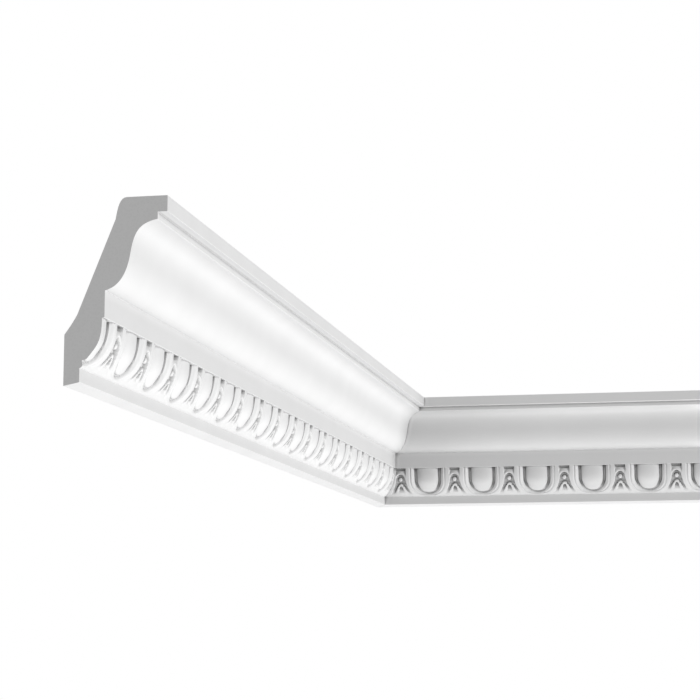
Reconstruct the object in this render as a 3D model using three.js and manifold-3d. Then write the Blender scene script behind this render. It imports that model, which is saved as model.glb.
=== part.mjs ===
// A mitred inside corner of carved cornice moulding: two lengths of one egg-and-dart stock.
// Millimetres, +Z up. The part stands on the lower back edges of its two lengths, with the
// middle of its box's underside at the origin. The walls that it fits are on its -X and +Y sides.

import * as THREE from 'three';
import { mergeVertices } from 'three/addons/utils/BufferGeometryUtils.js';
import Module from 'manifold-3d';

const wasm = await Module();
wasm.setup();

// The moulding's section: out from the wall, and up from the underside
const height = 110;
const projection = 61;
const topFasciaHeight = 9.5;
const stepBack = 5.8;
const secondFilletHeight = 4.3;
const midFasciaOut = 24.1;
const midFasciaTop = 55.2;
const bandTop = 39.3;
const bandBottom = 10;
const lowerFilletOut = 9.6;
const undersideRise = 1.9;
const wallFaceHeight = 30;
const ceilingFaceStart = 36.4;

// The section's curves, as Bezier handles and ends: the bulge and the hollow of the S-curve in
// front, and the rounded top and foot of the slanting back
const bulgeHandles = [34.3, 57.5, 37.6, 67.4];
const curveBend = [39.1, 76.8];
const hollowHandles = [41.2, 89.5, 44, 94];
const backTopHandles = [32, height, 30.9, 104];
const backTop = [29.7, 97];
const backFoot = [7.6, 41.6];
const backFootHandle = [5.4, 37.3];

// The two lengths, measured along the walls from the inside corner
const leftLength = 988;
const rightLength = 350;
const mitreGap = 0.3;

// The carved band: a bulging quarter round, one egg and one dart to each pitch
const pitch = 58;
const firstDart = 28.6;
const bulgeRadius = 38.4;
const bandSetBack = 0.45;
const lipTop = 11.7;
const floorDepth = 2.5;
const recessDepth = 3.9;
const wellDepth = 2.2;

// The plain core behind the band and the back of the band's strip, which overlap inside the solid
const coreOut = 13;
const coreFoot = 8.4;
const coreLean = 12;
const bandBackOut = 7.8;
const bury = 1;
const lipBury = 0.7;

// How far the uncut stock and the saw's block reach past the length that is kept
const trim = 8;

const primer = { color: 0xf2f2f1, roughness: 0.62, metalness: 0 };

// The plain stock, before the band is joined to it. X is out from the wall and Y is up.
function stockSection() {
  const stepOut = projection - stepBack;
  const stepBottom = height - topFasciaHeight;
  const curveTop = stepBottom - secondFilletHeight;
  const section = new THREE.Shape();
  section.moveTo(0, 0);
  section.lineTo(lowerFilletOut, undersideRise);
  section.lineTo(lowerFilletOut, bandBottom + bury / 2);
  section.lineTo(coreFoot, bandBottom + 2 * bury);
  section.lineTo(coreOut, bandTop - coreLean);
  section.lineTo(coreOut, bandTop);
  section.lineTo(midFasciaOut, bandTop);
  section.lineTo(midFasciaOut, midFasciaTop);
  section.bezierCurveTo(...bulgeHandles, ...curveBend);
  section.bezierCurveTo(...hollowHandles, stepOut, curveTop);
  section.lineTo(stepOut, stepBottom);
  section.lineTo(projection, stepBottom);
  section.lineTo(projection, height);
  section.lineTo(ceilingFaceStart, height);
  section.bezierCurveTo(...backTopHandles, ...backTop);
  section.lineTo(...backFoot);
  section.quadraticCurveTo(...backFootHandle, 0, wallFaceHeight);
  return section;
}

// The rings of one unit, from the egg's middle line out to the dart's: half width beside the egg,
// lowest height under it, roundness of the corner between them, and level against the rims.
const eggCentre = 27.2;
const rings = [
  { half: 0, low: 27.2, round: 2 },
  { half: 6.4, low: 19.6, round: 2 },
  { half: 10.2, low: 15.6, round: 2 },
  { half: 11.8, low: 14.2, round: 2, level: -floorDepth },
  { half: 14.2, low: 12.9, round: 2.1, level: -floorDepth },
  { half: 15.6, low: 12.1, round: 2.2, level: -0.2 },
  { half: 22.2, low: 11.4, round: 3.4, level: 0 },
];
const eggEdge = rings[3].half;
const lastRing = rings.length + 1;
const cornerShare = Math.SQRT1_2;

// The egg's dome over its groove: how high at the band's top, how much more it gains further
// down and over what drop, and how squarely it falls off towards its edge
const domeAtTop = 2;
const domeGain = 1.3;
const domeDrop = 14;
const domeRoundness = 2.4;

// The curve of the line under each frame where it meets the lip, and its height over the foot
const lipLineRoundness = 4;
const lipLineRise = 0.5;

// Down the dart: how far down the band, level on its middle line, and the groove beside it with
// its distance from that line. The recess comes first, then the arch, bead, leaf and lip.
const dartRows = [
  { down: 0, middle: -recessDepth, groove: -recessDepth, aside: 4.2 },
  { down: 0.11, middle: -recessDepth, groove: -recessDepth, aside: 4.2 },
  { down: 0.19, middle: -0.2, groove: -0.7, aside: 4.8 },
  { down: 0.27, middle: -wellDepth, groove: -wellDepth, aside: 4.6 },
  { down: 0.39, middle: 0.2, groove: -wellDepth, aside: 4.6 },
  { down: 0.52, middle: -wellDepth, groove: -wellDepth, aside: 4.8 },
  { down: 0.6, middle: -0.4, groove: -wellDepth, aside: 5.4 },
  { down: 0.78, middle: -0.2, groove: -wellDepth, aside: 7.2 },
  { down: 0.94, middle: -0.2, groove: -0.6, aside: 10 },
  { down: 1, middle: 0, groove: 0, aside: pitch / 2 },
];
const lastRow = dartRows.length - 1;
const straightRows = lastRow - lastRing;

// Height of the egg's dome over the groove round it: flatter at the top, fullest low down.
function domeRise(z) {
  const down = Math.min(1, Math.max(0, (bandTop - z) / domeDrop));
  return domeAtTop + domeGain * down;
}

// A ring's corner, where its side turns into its bottom.
function ringCorner(ring) {
  if (ring === lastRing) return { x: pitch / 2, z: bandBottom };
  if (ring === lastRing - 1) {
    const row = dartRows[straightRows + ring];
    return { x: pitch / 2 - row.aside, z: bandTop - row.down * (bandTop - bandBottom) };
  }
  const { half, low, round } = rings[ring];
  const share = Math.pow(cornerShare, 2 / round);
  return { x: half * share, z: eggCentre - (eggCentre - low) * share };
}

// Place and level of one knot of a unit's net. The column counts from the egg's middle line.
function knot(column, row) {
  const ring = Math.max(Math.abs(column), row - straightRows);
  const side = Math.abs(column) === ring;
  const corner = ringCorner(ring);
  const drop = bandTop - corner.z;
  let x;
  let z;
  if (side) {
    z = bandTop - drop * dartRows[row].down / dartRows[straightRows + ring].down;
    if (ring === lastRing) x = pitch / 2;
    else if (ring === lastRing - 1) x = pitch / 2 - dartRows[row].aside;
    else {
      const { half, low, round } = rings[ring];
      const below = Math.max(0, eggCentre - z) / Math.max(1, eggCentre - low);
      x = half * Math.pow(Math.max(0, 1 - Math.pow(below, round)), 1 / round);
    }
  } else {
    x = corner.x * Math.abs(column) / ring;
    if (ring === lastRing) z = bandBottom;
    else if (ring === lastRing - 1) {
      z = bandBottom + (corner.z - bandBottom) * Math.pow(x / corner.x, lipLineRoundness) + lipLineRise;
    } else {
      const { half, low, round } = rings[ring];
      z = eggCentre - (eggCentre - low) * Math.pow(1 - Math.pow(x / half, round), 1 / round);
    }
  }
  let level;
  if (ring >= rings.length) {
    level = side ? dartRows[row][ring === lastRing ? 'middle' : 'groove'] : 0;
  } else if (rings[ring].level !== undefined) {
    level = rings[ring].level;
  } else {
    const spread = rings[ring].half / eggEdge;
    level = -floorDepth + domeRise(z) * Math.sqrt(1 - Math.pow(spread, domeRoundness));
  }
  return { x: Math.sign(column) * x, z, level };
}

// A point on the band's bulge at a height, moved off it by a level.
function onBulge(z, level) {
  const centreOut = midFasciaOut - bandSetBack - bulgeRadius;
  const onArc = Math.max(z, lipTop);
  const sine = (bandTop - onArc) / bulgeRadius;
  const cosine = Math.sqrt(1 - sine * sine);
  const arcOut = centreOut + bulgeRadius * cosine;
  const lipOut = centreOut + bulgeRadius * Math.sqrt(1 - ((bandTop - lipTop) / bulgeRadius) ** 2);
  const lipShare = Math.max(0, (lipTop - z) / (lipTop - bandBottom));
  const out = z >= lipTop ? arcOut : lipOut + (lowerFilletOut - lipOut) * lipShare;
  return { out: out + level * cosine, up: z - level * sine };
}

// The carved band as one closed strip of whole units, which starts half a pitch before the first
// dart and runs to past the cut end.
function carvedBand(length) {
  const units = Math.ceil((length - firstDart) / pitch + 0.5) + 1;
  const columns = (2 * units - 1) * lastRing;
  const strip = new THREE.BoxGeometry(columns, lastRow, 1, columns, lastRow, 1);
  const place = strip.getAttribute('position');
  for (let i = 0; i < place.count; i += 1) {
    const across = Math.round(place.getX(i) + columns / 2);
    const row = Math.round(lastRow / 2 - place.getY(i));
    const front = place.getZ(i) < 0;
    const unit = Math.floor((across + lastRing) / (2 * lastRing) + 0.5 / columns);
    const point = knot(across - 2 * lastRing * unit, row);
    const along = firstDart + (unit - 0.5) * pitch + point.x;
    const face = onBulge(point.z, point.level);
    if (row === 0) face.up = bandTop + bury;
    if (row === lastRow) {
      face.out -= bury;
      face.up -= lipBury;
    }
    place.setXYZ(i, front ? face.out : bandBackOut, face.up, along);
  }
  return strip;
}

// A closed geometry as a solid that can be joined and cut.
function toSolid(geometry) {
  geometry.deleteAttribute('normal');
  geometry.deleteAttribute('uv');
  const merged = mergeVertices(geometry, 1e-4);
  return new wasm.Manifold(new wasm.Mesh({
    numProp: 3,
    vertProperties: new Float32Array(merged.getAttribute('position').array),
    triVerts: new Uint32Array(merged.getIndex().array),
  }));
}

function toGeometry(solid) {
  const mesh = solid.getMesh();
  const geometry = new THREE.BufferGeometry();
  geometry.setAttribute('position', new THREE.BufferAttribute(mesh.vertProperties, 3));
  geometry.setIndex(new THREE.BufferAttribute(mesh.triVerts, 1));
  return geometry;
}

// What is kept of a length: mitred at 45 degrees at the corner, and sawn square at the far end.
function mitredBlock(length) {
  const back = mitreGap * Math.SQRT1_2;
  const plan = new THREE.Shape();
  plan.moveTo(-trim, -trim + back);
  plan.lineTo(projection + trim, projection + trim + back);
  plan.lineTo(projection + trim, length);
  plan.lineTo(-trim, length);
  const block = new THREE.ExtrudeGeometry(plan, { depth: height + 2 * trim, bevelEnabled: false });
  block.rotateX(Math.PI / 2);
  block.translate(0, height + trim, 0);
  return block;
}

// One length of the moulding, X out from the wall, Y up and Z along it from the inside corner.
function mouldingLength(length) {
  const stock = new THREE.ExtrudeGeometry(stockSection(), {
    depth: length + 2 * trim, bevelEnabled: false, curveSegments: 8,
  });
  stock.translate(0, 0, -trim);
  const carved = toSolid(stock).add(toSolid(carvedBand(length)));
  return toGeometry(carved.intersect(toSolid(mitredBlock(length))));
}

// Swap the two plan directions, which turns a left-hand length into a right-hand one.
function mirrored(geometry) {
  geometry.applyMatrix4(new THREE.Matrix4().makeScale(1, 1, -1));
  const corners = geometry.getIndex().array;
  for (let i = 0; i < corners.length; i += 3) {
    const second = corners[i + 1];
    corners[i + 1] = corners[i + 2];
    corners[i + 2] = second;
  }
  return geometry;
}

const leftLengthMesh = new THREE.Mesh(mouldingLength(leftLength), new THREE.MeshStandardMaterial(primer));
leftLengthMesh.name = 'left_length';
leftLengthMesh.rotation.x = Math.PI / 2;

const rightLengthMesh = new THREE.Mesh(
  mirrored(mouldingLength(rightLength)),
  new THREE.MeshStandardMaterial(primer),
);
rightLengthMesh.name = 'right_length';
rightLengthMesh.rotation.x = Math.PI / 2;

const rightTurn = new THREE.Group();
rightTurn.rotation.z = -Math.PI / 2;
rightTurn.add(rightLengthMesh);

// Both lengths meet at the inside corner of the walls, which sits off the box's middle.
const group = new THREE.Group();
group.position.set(-rightLength / 2, leftLength / 2, 0);
group.add(leftLengthMesh, rightTurn);

export default group;
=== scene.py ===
import math

import bpy
import numpy as np
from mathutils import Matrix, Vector


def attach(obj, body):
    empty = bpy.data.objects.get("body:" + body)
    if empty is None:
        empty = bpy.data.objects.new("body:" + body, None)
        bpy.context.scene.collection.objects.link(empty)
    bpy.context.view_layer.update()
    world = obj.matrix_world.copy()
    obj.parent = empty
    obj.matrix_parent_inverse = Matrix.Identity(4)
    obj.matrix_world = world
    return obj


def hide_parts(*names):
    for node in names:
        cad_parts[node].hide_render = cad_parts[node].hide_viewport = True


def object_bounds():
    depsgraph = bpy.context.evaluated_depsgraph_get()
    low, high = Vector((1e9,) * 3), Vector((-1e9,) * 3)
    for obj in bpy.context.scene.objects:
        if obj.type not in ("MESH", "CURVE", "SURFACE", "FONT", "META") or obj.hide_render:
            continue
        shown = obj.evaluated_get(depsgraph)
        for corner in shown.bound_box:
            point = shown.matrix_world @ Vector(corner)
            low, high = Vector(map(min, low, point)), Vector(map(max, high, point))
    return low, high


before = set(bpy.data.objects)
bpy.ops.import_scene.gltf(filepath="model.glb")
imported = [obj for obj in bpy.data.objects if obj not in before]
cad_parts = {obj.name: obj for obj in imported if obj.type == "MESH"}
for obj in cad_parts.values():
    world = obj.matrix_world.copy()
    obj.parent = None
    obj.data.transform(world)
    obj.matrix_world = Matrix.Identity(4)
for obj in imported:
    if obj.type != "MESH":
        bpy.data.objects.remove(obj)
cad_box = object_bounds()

# The two lengths, left and right of the corner. Each is one casting of rigid polyurethane foam, poured
# in a long mould that gives it the S-curve, the fascias and the carved band, and then primed white.
# They are sawn at 45 degrees for the corner, where glue holds them, and square at their far ends.
MM = 0.001
span = (cad_box[1] - cad_box[0]) / MM
LEFT_LENGTH, RIGHT_LENGTH, HEIGHT = round(span.y), round(span.x), round(span.z)
MITRE_GAP = 0.3
SPARE = 30.0
wall_corner = Vector((cad_box[0].x, cad_box[1].y, 0))
along_left, along_right = Vector((0, -1, 0)), Vector((1, 0, 0))

# Their section, in mm out from the wall and up from the foot of the wall face. The handles bend the
# curves: the S-curve's bulge and hollow, and the two bends of the back.
PROJECTION = 61.0
TOP_FASCIA_FOOT = 100.5
STEP_OUT = 55.2
CURVE_TOP = 96.2
CURVE_BEND = (39.1, 76.8)
BULGE_HANDLES = (34.3, 57.5), (37.6, 67.4)
HOLLOW_HANDLES = (41.2, 89.5), (44.0, 94.0)
SECOND_FASCIA_OUT = 24.1
SECOND_FASCIA_TOP = 55.2
BAND_TOP = 39.3
BAND_FOOT = 10.0
FILLET_OUT = 9.6
UNDERSIDE_RISE = 1.9
WALL_FACE_TOP = 30.0
CEILING_FACE_START = 36.4
BACK_TOP, BACK_FOOT = (29.7, 97.0), (7.6, 41.6)
BACK_TOP_HANDLES = (32.0, HEIGHT), (30.9, 104.0)
BACK_FOOT_HANDLES = (6.1, 38.7), (3.6, 34.8)
SOFT_EDGE = 0.35
SOFT_EDGE_FULLNESS = 0.6

# Where the plain core ends inside the band, and where the band's own back lies inside the core
CORE_OUT = 9.0
CORE_FOOT_OUT = 8.4
BAND_BACK_OUT = 7.8
BURIED = 1.0


def curve(start, first, second, end, steps):
    """Points along a Bezier curve of the section, without its two ends."""
    handles = (start, first, second, end)
    points = []
    for i in range(1, steps):
        t = i / steps
        share = ((1 - t) ** 3, 3 * (1 - t) ** 2 * t, 3 * (1 - t) * t * t, t ** 3)
        points.append(tuple(sum(w * p[k] for w, p in zip(share, handles)) for k in (0, 1)))
    return points


def softened(before, corner, after):
    """A corner of the section, rounded as the mould and the primer leave it."""
    before, corner, after = Vector(before), Vector(corner), Vector(after)
    start = corner + (before - corner).normalized() * min(SOFT_EDGE, (before - corner).length / 3)
    end = corner + (after - corner).normalized() * min(SOFT_EDGE, (after - corner).length / 3)
    first, second = start.lerp(corner, SOFT_EDGE_FULLNESS), end.lerp(corner, SOFT_EDGE_FULLNESS)
    return [tuple(start), *curve(start, first, second, end, steps=4), tuple(end)]


def stock_section():
    """The section of the plain stock, out from the wall and up, starting inside the band."""
    band_roof = (SECOND_FASCIA_OUT, BAND_TOP)
    fascia = (SECOND_FASCIA_OUT, SECOND_FASCIA_TOP)
    hollow_end = (STEP_OUT, CURVE_TOP)
    step = (STEP_OUT, TOP_FASCIA_FOOT)
    top_fascia = [(PROJECTION, TOP_FASCIA_FOOT), (PROJECTION, HEIGHT)]
    ceiling_start = (CEILING_FACE_START, HEIGHT)
    wall_top, wall_foot = (0.0, WALL_FACE_TOP), (0.0, 0.0)
    front_foot, fillet_top = (FILLET_OUT, UNDERSIDE_RISE), (FILLET_OUT, BAND_FOOT)

    bulge = curve(fascia, *BULGE_HANDLES, CURVE_BEND, steps=22)
    hollow = curve(CURVE_BEND, *HOLLOW_HANDLES, hollow_end, steps=22)
    front = [(CORE_OUT, BAND_TOP), band_roof, fascia, *bulge, CURVE_BEND, *hollow, hollow_end, step]
    front += [*top_fascia, ceiling_start]
    corners = {band_roof, fascia, hollow_end, step, *top_fascia}
    section = [front[0]]
    for before, point, after in zip(front, front[1:], front[2:]):
        section += softened(before, point, after) if point in corners else [point]
    section += [ceiling_start, *curve(ceiling_start, *BACK_TOP_HANDLES, BACK_TOP, steps=8), BACK_TOP]
    section += [BACK_FOOT, *curve(BACK_FOOT, *BACK_FOOT_HANDLES, wall_top, steps=6), wall_top]
    section += [wall_foot, *softened(wall_foot, front_foot, fillet_top), fillet_top]
    return section + [(CORE_FOOT_OUT, BAND_FOOT)]


def place(piece, out, along, up, outward, run):
    """Moves a piece's points to their places, in mm from the foot of the corner of the walls."""
    points = np.outer(out, outward) + np.outer(along, run) + np.outer(up, (0, 0, 1))
    piece.data.vertices.foreach_set("co", (np.array(wall_corner) + points * MM).ravel())
    piece.data.update()


def recalculate_normals(piece):
    """Turns a closed piece's faces to point outwards."""
    bpy.ops.object.select_all(action="DESELECT")
    piece.select_set(True)
    bpy.context.view_layer.objects.active = piece
    bpy.ops.object.mode_set(mode="EDIT")
    bpy.ops.mesh.select_all(action="SELECT")
    bpy.ops.mesh.normals_make_consistent(inside=False)
    bpy.ops.object.mode_set(mode="OBJECT")


def plain_stock(length, outward, run):
    """The stock without its band, longer than needed at both ends."""
    section = stock_section()
    bpy.ops.object.select_all(action="DESELECT")
    bpy.ops.mesh.primitive_circle_add(vertices=len(section), fill_type="NGON")
    stock = bpy.context.object
    bpy.ops.object.mode_set(mode="EDIT")
    bpy.ops.mesh.extrude_region_move(TRANSFORM_OT_translate={"value": (0, 0, 1)})
    bpy.ops.object.mode_set(mode="OBJECT")
    out, up = np.array(section * 2).T
    far = np.array([v.co.z for v in stock.data.vertices]) > 0.5
    place(stock, out, np.where(far, length + SPARE, -SPARE), up, outward, run)
    recalculate_normals(stock)
    return stock


# The carved band: a quarter round that bulges, with one egg and one dart to each pitch. All levels are
# in mm off that bulge, and fall to nothing at the lip above the lower fillet.
PITCH = 58.0
FIRST_DART = 28.6
BULGE_RADIUS = 38.4
BAND_SET_BACK = 0.45
LIP_TOP = 11.7
LIP_FADE = (BAND_FOOT + 0.2, BAND_FOOT + 2.0)

# The U-shaped lines round an egg: half width, how far each hangs below the egg's centre, squareness
EGG_CENTRE = 27.2
EGG_HALF_WIDTH = 11.8
LINE_HALF_WIDTHS = (0, 11.8, 14.2, 15.6, 18.2, 22.2, 40)
LINE_DEPTHS = (0.001, 14.1, 15.2, 15.6, 16.0, 16.3, 18)
LINE_SQUARENESS = (2.25, 2.25, 2.25, 2.3, 2.4, 3.2, 3.2)

# The egg's dome, the deep groove beside it, its rim and the fine line cut into the rim: first their
# levels, then the lines between which each slope runs. Beneath the egg they keep a share of their depth.
EGG_EDGE = -4.3
EGG_CROWN_AT_TOP, EGG_CROWN = -0.9, -0.1
GROOVE_FLOOR = -5.3
RIM_FOOT = -2.2
RIM_TOP = -0.3
FINE_LINE = 0.45
RIM_EDGE_RISE = 0.75
GROOVE_INNER_SIDE = (11.2, 12.0)
GROOVE_OUTER_SIDE = (13.7, 14.5)
RIM_SLOPE = (14.5, 17.2)
FINE_LINE_SIDE = (17.2, 18.3)
RIM_EDGE_SIDE = (18.4, 19.8)
SHARE_UNDER_EGG = 0.5

# The dart: its recess under the fascia, an arch over a bead, and a leaf split by a slit
DART_EDGE_HEIGHTS = (10, 11.2, 12.4, 14.6, 18.9, 22.6, 26.5, 33, 39.3)
DART_HALF_WIDTHS = (16, 13.6, 11.2, 8.7, 6.1, 5.0, 4.0, 4.7, 4.5)
DART_EDGE_SLOPE = 1.4
DART_FLOOR = -3.2
SIDE_FLOOR_SHARE = 0.85
RECESS_FALL = 1.8
RECESS_SIDE = 3.5
RECESS_ROOF = (36, 38.8)
ARCH_HALF_WIDTH = 5.4
ARCH_HEIGHT = 6.5
ARCH_TOP = -0.2
ARCH_FALL = 3.6
ARCH_HALF_THICKNESS = 1.3
ARCH_FOOT = 22
BEAD_CENTRE = 27.0
BEAD_RADIUS = 2.5
BEAD_TOP = -0.05
LEG_HEIGHTS = (10, 12, 13.9, 17.8, 19.2, 20.6)
LEG_MIDDLES = (7.6, 6.2, 5.0, 3.2, 2.6, 1.7)
LEG_SPREAD_HEIGHTS = (12, 18)
LEG_HALF_WIDTHS = (3.0, 1.7)
LEAF_TOP = 20.0
LEAF_TOP_RADIUS = 1.4
LEAF_TOP_HALF_WIDTH = 1.5
LEAF_LEVEL = -0.1
LEAF_FALL = 3.3

# Where the carving changes on its way down: a height, and how far below it the change is complete
EGG_CROWN_REACHED = (BAND_TOP, 15)
SHALLOW_UNDER_EGG = (21, 7)
SIDE_FLOOR_RISES = (24, 3)
SIDE_FLOOR_RUNS_OUT = (17.5, 6)
SLIT_RUNS_OUT = (18.6, 5)


def rise(value, start, end):
    """0 before start and 1 after end, with a smooth slope between."""
    share = np.clip((value - start) / (end - start), 0, 1)
    return share * share * (3 - 2 * share)


def under(z, height, within):
    """0 above a height and 1 from a given way below it, with a smooth slope between."""
    return rise(height - z, 0, within)


def line_round_egg(x, z):
    """Which of the U-shaped lines round the egg a point lies on, as that line's half width."""
    below = np.maximum(0, EGG_CENTRE - z)
    low, high = np.zeros_like(x), np.full_like(x, LINE_HALF_WIDTHS[-1])
    for _ in range(24):
        line = (low + high) / 2
        depth = np.interp(line, LINE_HALF_WIDTHS, LINE_DEPTHS)
        power = np.interp(line, LINE_HALF_WIDTHS, LINE_SQUARENESS)
        inside = (np.abs(x) / np.maximum(line, 1e-6)) ** power + (below / depth) ** power < 1
        high = np.where(inside, line, high)
        low = np.where(inside, low, line)
    return (low + high) / 2


def egg_and_rim(x, z):
    """Level of the egg, the groove beside it and the rim that frames it."""
    line = line_round_egg(x, z)
    share = 1 - (1 - SHARE_UNDER_EGG) * under(z, *SHALLOW_UNDER_EGG)
    edge, groove, rim_foot = EGG_EDGE * share, GROOVE_FLOOR * share, RIM_FOOT * share
    crown = EGG_CROWN_AT_TOP + (EGG_CROWN - EGG_CROWN_AT_TOP) * under(z, *EGG_CROWN_REACHED)
    level = edge + (crown - edge) * np.sqrt(np.maximum(0, 1 - (line / EGG_HALF_WIDTH) ** 2))
    level += (groove - edge) * rise(line, *GROOVE_INNER_SIDE)
    level += (rim_foot - groove) * rise(line, *GROOVE_OUTER_SIDE)
    level += (RIM_TOP - rim_foot) * rise(line, *RIM_SLOPE)
    return level - FINE_LINE * rise(line, *FINE_LINE_SIDE) + RIM_EDGE_RISE * rise(line, *RIM_EDGE_SIDE)


def arch_and_bead(aside, z):
    """Level of the dart's recess, arch and bead, at a distance from the dart's middle line."""
    from_arch = (np.hypot(aside / ARCH_HALF_WIDTH, (z - BEAD_CENTRE) / ARCH_HEIGHT) - 1) * ARCH_HALF_WIDTH
    recess = ARCH_TOP - RECESS_FALL * (rise(from_arch, 0, RECESS_SIDE) + rise(z, *RECESS_ROOF))
    arch = ARCH_TOP - ARCH_FALL * np.abs(from_arch / ARCH_HALF_THICKNESS) ** 3
    arch = np.where(z > BEAD_CENTRE, np.where(from_arch > 0, recess, arch), DART_FLOOR)
    from_bead = np.hypot(aside, z - BEAD_CENTRE) / BEAD_RADIUS
    bead = DART_FLOOR + (BEAD_TOP - DART_FLOOR) * np.sqrt(np.maximum(0, 1 - from_bead ** 4))
    return np.maximum(arch, bead)


def leaf(aside, z):
    """Level of the leaf's two legs and of the rounded top that joins them."""
    leg_half_width = np.interp(z, LEG_SPREAD_HEIGHTS, LEG_HALF_WIDTHS)
    from_leg = (aside - np.interp(z, LEG_HEIGHTS, LEG_MIDDLES)) / leg_half_width
    from_top = (np.hypot(aside, z - LEAF_TOP) - LEAF_TOP_RADIUS) / LEAF_TOP_HALF_WIDTH
    return LEAF_LEVEL - LEAF_FALL * np.where(z < LEAF_TOP, from_leg, from_top) ** 6


def carving(x, z):
    """Level of the whole carving, at x from an egg's middle and at a height z."""
    aside = PITCH / 2 - np.abs(x)
    in_slit = aside < np.interp(z, LEG_HEIGHTS, LEG_MIDDLES)
    side_floor = DART_FLOOR * (1 - (1 - SIDE_FLOOR_SHARE) * under(z, *SIDE_FLOOR_RISES))
    side_floor *= 1 - under(z, *SIDE_FLOOR_RUNS_OUT)
    slit_floor = DART_FLOOR * (1 - under(z, *SLIT_RUNS_OUT))
    floor = np.maximum(arch_and_bead(aside, z), DART_FLOOR)
    floor = np.where(z < ARCH_FOOT, np.where(in_slit, slit_floor, side_floor), floor)
    dart_edge = np.interp(z, DART_EDGE_HEIGHTS, DART_HALF_WIDTHS)
    level = floor + (egg_and_rim(x, z) - floor) * rise(aside, dart_edge, dart_edge + DART_EDGE_SLOPE)
    return np.maximum(level, leaf(aside, z)) * rise(z, *LIP_FADE)


def on_bulge(z, level):
    """Out from the wall and up, for a level off the band's bulge at a height."""
    sine = (BAND_TOP - np.maximum(z, LIP_TOP)) / BULGE_RADIUS
    cosine = np.sqrt(1 - sine ** 2)
    out = SECOND_FASCIA_OUT - BAND_SET_BACK - BULGE_RADIUS * (1 - cosine)
    out += (FILLET_OUT - out) * np.clip((LIP_TOP - z) / (LIP_TOP - BAND_FOOT), 0, 1)
    return out + level * cosine, z - level * sine


def row_heights(rows):
    """Heights of the band's rows, evenly spaced round the bulge from its top to its foot."""
    fine = np.linspace(BAND_TOP, BAND_FOOT, 400)
    out, up = on_bulge(fine, np.zeros_like(fine))
    walked = np.concatenate(([0], np.cumsum(np.hypot(np.diff(out), np.diff(up)))))
    return np.interp(np.linspace(0, walked[-1], rows + 1), walked, fine)


def carved_band(length, outward, run, columns, rows):
    """The band's front, a net pressed into the carving, closed behind by a plain back inside the stock."""
    bpy.ops.object.select_all(action="DESELECT")
    unit = 2
    bpy.ops.mesh.primitive_grid_add(x_subdivisions=columns, y_subdivisions=rows, size=unit)
    band = bpy.context.object
    bpy.ops.object.modifier_add(type="ARRAY")
    repeat = band.modifiers[-1]
    repeat.count = math.ceil((length - FIRST_DART) / PITCH) + 1
    repeat.use_relative_offset = False
    repeat.use_constant_offset = True
    repeat.constant_offset_displace = (unit, 0, 0)
    repeat.use_merge_vertices = True
    repeat.merge_threshold = 0.001
    bpy.ops.object.modifier_apply(modifier=repeat.name)
    bpy.ops.object.mode_set(mode="EDIT")
    bpy.ops.mesh.select_all(action="SELECT")
    bpy.ops.mesh.extrude_region_move(TRANSFORM_OT_translate={"value": (0, 0, -1)})
    bpy.ops.object.mode_set(mode="OBJECT")
    net = np.empty(len(band.data.vertices) * 3)
    band.data.vertices.foreach_get("co", net)
    net = net.reshape(-1, 3)
    # The net runs on from the middle of the first egg, one unit to each pitch
    across = net[:, 0] * PITCH / unit
    from_egg = across - PITCH * np.round(across / PITCH)
    z = np.interp((1 - net[:, 1]) / unit * rows, np.arange(rows + 1), row_heights(rows))
    out, up = on_bulge(z, carving(from_egg, z))
    # Its top row and its back go inside the stock, so that the two overlap
    top = z > BAND_TOP - 0.001
    up = np.where(top, BAND_TOP + BURIED, up)
    back = net[:, 2] < -0.5
    out, up = np.where(back, BAND_BACK_OUT, out), np.where(back & ~top, z, up)
    place(band, out, FIRST_DART - PITCH / 2 + across, up, outward, run)
    recalculate_normals(band)
    return band


def linear(hex_colour):
    """An sRGB hex colour as the linear RGBA that a shader takes."""
    channels = [int(hex_colour[i:i + 2], 16) / 255 for i in (1, 3, 5)]
    return tuple(c / 12.92 if c <= 0.04045 else ((c + 0.055) / 1.055) ** 2.4 for c in channels) + (1.0,)


def add_node(tree, kind, settings, links=()):
    """Adds a node with its settings, each a socket's or a property's, and its links into sockets."""
    node = tree.nodes.new(kind)
    for name, value in settings.items():
        if name in node.inputs:
            node.inputs[name].default_value = value
        else:
            setattr(node, name, value)
    for socket, output in links:
        tree.links.new(output, node.inputs[socket])
    return node


def set_ramp(ramp, tones):
    """Sets a colour ramp to tones at their places from 0 to 1."""
    elements = ramp.color_ramp.elements
    (first, first_tone), *between, (last, last_tone) = sorted(tones.items())
    elements[0].position, elements[0].color = first, linear(first_tone)
    elements[1].position, elements[1].color = last, linear(last_tone)
    for position, tone in between:
        elements.new(position).color = linear(tone)


# White acrylic primer, sprayed over the casting: a dull, even white with the faint orange peel of a
# spray gun, slightly mottled from coat to coat. Painted shade darkens its colour where the carving's
# grooves close in, and painted bounce light brightens it where neighbouring faces would light each other.
PEEL_WIDTH = 1.6
PEEL_DEPTH = 0.03
MOTTLE_WIDTH = 35.0
PAINTED_SHADE_REACH = 6.0
primed = bpy.data.materials.new("white_primed_polyurethane")
primed.use_nodes = True
tree = primed.node_tree
surface = tree.nodes["Principled BSDF"]
spot = add_node(tree, "ShaderNodeTexCoord", {}).outputs["Object"]
mottle = add_node(tree, "ShaderNodeTexNoise", {"Scale": 1 / (MOTTLE_WIDTH * MM), "Detail": 3.0},
                  [("Vector", spot)])
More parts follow.
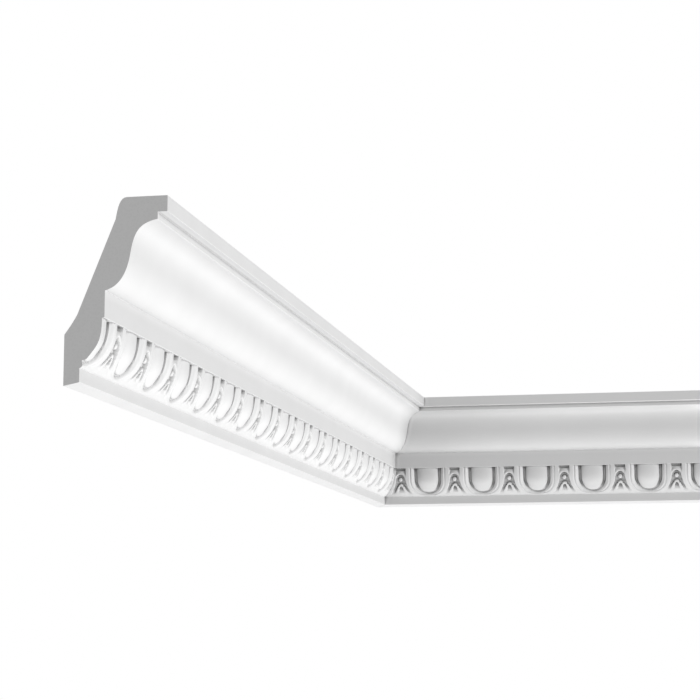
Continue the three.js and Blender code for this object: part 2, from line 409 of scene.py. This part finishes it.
# A real peel is under a millimetre wide, too fine to show, and is drawn about twice as coarse
peel = add_node(tree, "ShaderNodeTexNoise", {"Scale": 1 / (PEEL_WIDTH * MM), "Detail": 2.0},
                [("Vector", spot)])
# Painted shade and light: the occlusion of the grooves darkens the base colour in them, and brightens it in
# half-open places as painted bounce light
painted_shade_occlusion = add_node(tree, "ShaderNodeAmbientOcclusion", {"samples": 8, "Distance": PAINTED_SHADE_REACH * MM})
painted_shade_and_light = add_node(tree, "ShaderNodeValToRGB", {}, [("Fac", painted_shade_occlusion.outputs["AO"])])
set_ramp(painted_shade_and_light, {0.0: "#484848", 0.3: "#9a9a9a", 0.5: "#d8d8d8", 0.74: "#ffffff", 1.0: "#f2f2f2"})
coats = add_node(tree, "ShaderNodeValToRGB", {}, [("Fac", mottle.outputs["Fac"])])
set_ramp(coats, {0.3: "#fcfcfc", 0.7: "#ffffff"})
colour = add_node(tree, "ShaderNodeMixRGB", {"blend_type": "MULTIPLY", "Fac": 1.0},
                  [("Color1", painted_shade_and_light.outputs["Color"]), ("Color2", coats.outputs["Color"])])
tree.links.new(colour.outputs["Color"], surface.inputs["Base Color"])
gloss = add_node(tree, "ShaderNodeMapRange", {"To Min": 0.54, "To Max": 0.66},
                 [("Value", mottle.outputs["Fac"])])
tree.links.new(gloss.outputs["Result"], surface.inputs["Roughness"])
relief = add_node(tree, "ShaderNodeBump", {"Strength": 0.25, "Distance": PEEL_DEPTH * MM},
                  [("Height", peel.outputs["Fac"])])
tree.links.new(relief.outputs["Normal"], surface.inputs["Normal"])

# Bare rigid polyurethane foam where the saw went through: greyer and quite dull, with fine closed
# cells and the faint arcs that a circular blade leaves.
CELL_WIDTH = 1.5
CELL_DEPTH = 0.05
TOOTH_STEP = 3.0
TOOTH_DEPTH = 0.03
RING_STEP_AT_SCALE_1 = 0.31
sawn = bpy.data.materials.new("sawn_polyurethane_foam")
sawn.use_nodes = True
tree = sawn.node_tree
surface = tree.nodes["Principled BSDF"]
surface.inputs["Roughness"].default_value = 0.9
spot = add_node(tree, "ShaderNodeTexCoord", {}).outputs["Object"]
# The real cells are a third of a millimetre wide, too fine to show, and are drawn coarser
cells = add_node(tree, "ShaderNodeTexVoronoi", {"Scale": 1 / (CELL_WIDTH * MM)}, [("Vector", spot)])
arcs = add_node(tree, "ShaderNodeTexWave",
                {"wave_type": "RINGS", "rings_direction": "SPHERICAL",
                 "Scale": RING_STEP_AT_SCALE_1 / (TOOTH_STEP * MM), "Distortion": 1.5}, [("Vector", spot)])
foam = add_node(tree, "ShaderNodeValToRGB", {}, [("Fac", cells.outputs["Distance"])])
set_ramp(foam, {0.0: "#cbcbcb", 0.6: "#d0d0d0"})
tree.links.new(foam.outputs["Color"], surface.inputs["Base Color"])
marks = add_node(tree, "ShaderNodeBump", {"Strength": 0.3, "Distance": TOOTH_DEPTH * MM},
                 [("Height", arcs.outputs["Fac"])])
pores = add_node(tree, "ShaderNodeBump", {"Strength": 0.3, "Distance": CELL_DEPTH * MM},
                 [("Height", cells.outputs["Distance"]), ("Normal", marks.outputs["Normal"])])
tree.links.new(pores.outputs["Normal"], surface.inputs["Normal"])

# How near a saw cut, in mm, a face is sawn, and the bend in degrees from which an edge stays sharp
CUT_TOLERANCE = 0.01
SHARP_FROM = 40


def moulding_length(name, length, outward, run, columns, rows):
    """A length of the stock with its band, mitred at the corner and sawn square at its far end."""
    stock = plain_stock(length, outward, run)
    band = carved_band(length, outward, run, columns, rows)
    bpy.ops.object.select_all(action="DESELECT")
    stock.select_set(True)
    bpy.context.view_layer.objects.active = stock
    bpy.ops.object.modifier_add(type="BOOLEAN")
    cast = stock.modifiers[-1]
    cast.operation = "UNION"
    cast.solver = "MANIFOLD"
    cast.object = band
    bpy.ops.object.modifier_apply(modifier=cast.name)
    bpy.data.objects.remove(band)
    mitre_normal = (outward - run).normalized()
    mitre = wall_corner - mitre_normal * MITRE_GAP / 2 * MM
    cuts = [(mitre, mitre_normal), (wall_corner + run * length * MM, run)]
    bpy.ops.object.mode_set(mode="EDIT")
    for point, normal in cuts:
        bpy.ops.mesh.select_all(action="SELECT")
        bpy.ops.mesh.bisect(plane_co=point, plane_no=normal, use_fill=True, clear_outer=True)
    bpy.ops.object.mode_set(mode="OBJECT")
    stock.data.materials.clear()
    stock.data.materials.append(primed)
    stock.data.materials.append(sawn)
    for face in stock.data.polygons:
        on_cut = any(abs((face.center - point).dot(normal)) < CUT_TOLERANCE * MM for point, normal in cuts)
        face.material_index = 1 if on_cut else 0
    stock.name = name
    bpy.ops.object.shade_smooth_by_angle(angle=math.radians(SHARP_FROM))
    bpy.ops.object.modifier_add(type="WEIGHTED_NORMAL")
    stock.modifiers[-1].keep_sharp = True
    bpy.ops.object.modifier_apply(modifier=stock.modifiers[-1].name)
    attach(stock, "root")
    return stock


left = moulding_length("left_moulding", LEFT_LENGTH, along_right, along_left, columns=92, rows=56)
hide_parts("left_length")
right = moulding_length("right_moulding", RIGHT_LENGTH, along_left, along_right, columns=150, rows=94)
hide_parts("right_length")

# The camera looks up at the corner from below and in front, through a long lens. Its place is in
# heights of the moulding from the foot of the corner, and its angles are in degrees.
EYE_IN_HEIGHTS = (3.44331, -18.44772, -1.35451)
UP_FROM_STRAIGHT_DOWN = 98.821
TURNED_LEFT = 11.402
LENS = 98.57
FILM_WIDTH = 36
eye = wall_corner + Vector(EYE_IN_HEIGHTS) * HEIGHT * MM
looking = (math.radians(UP_FROM_STRAIGHT_DOWN), 0, math.radians(TURNED_LEFT))
bpy.ops.object.camera_add(location=eye, rotation=looking)
camera = bpy.context.object
camera.data.lens = LENS
camera.data.sensor_width = FILM_WIDTH
bpy.context.scene.camera = camera

# The floor is plain and pale, far below, and keeps its light and reflections off the moulding.
FLOOR_SIZE = 30
FLOOR_LEVEL = -1.4
bpy.ops.mesh.primitive_plane_add(size=FLOOR_SIZE, location=(0, 0, FLOOR_LEVEL))
floor = bpy.context.object
floor.name = "floor"
floor.visible_diffuse = False
floor.visible_glossy = False
floor.visible_shadow = False
pale = bpy.data.materials.new("pale_floor_paint")
pale.use_nodes = True
pale.node_tree.nodes["Principled BSDF"].inputs["Base Color"].default_value = linear("#ececec")
pale.node_tree.nodes["Principled BSDF"].inputs["Roughness"].default_value = 0.9
floor.data.materials.append(pale)

# The light of a white studio: a faint even glow, soft lights from below, right, left and in front, and
# one overhead for the backs and tops. The backdrop itself is pure white.
GLOW = 0.24
BACKDROP = 1.0
SOFTNESS = 30
world = bpy.data.worlds.new("studio")
bpy.context.scene.world = world
world.use_nodes = True
seen = add_node(world.node_tree, "ShaderNodeLightPath", {}).outputs["Is Camera Ray"]
strength = add_node(world.node_tree, "ShaderNodeMix", {"A": GLOW, "B": BACKDROP}, [("Factor", seen)])
world.node_tree.links.new(strength.outputs["Result"], world.node_tree.nodes["Background"].inputs["Strength"])
world.node_tree.nodes["Background"].inputs["Color"].default_value = (1, 1, 1, 1)


def soft_light(name, towards, energy):
    """A wide soft light far away in one direction."""
    bpy.ops.object.light_add(type="SUN", location=(0, 0, 3))
    light = bpy.context.object
    light.name = name
    light.rotation_euler = Vector(towards).to_track_quat("Z", "Y").to_euler()
    light.data.energy = energy
    light.data.angle = math.radians(SOFTNESS)


soft_light("low_behind_right", (0.663, 0.383, -0.643), 1.2)
soft_light("below", (0.001, 0, -1), 1.2)
soft_light("low_left", (-0.866, 0, -0.5), 1.0)
soft_light("right", (0.906, -0.423, 0), 1.3)
soft_light("front", (0.259, -0.966, 0), 0.53)
soft_light("overhead", (-0.45, 0.4, 0.8), 1.8)
bpy.context.scene.cycles.diffuse_bounces = 0
bpy.context.scene.view_settings.view_transform = "Standard"
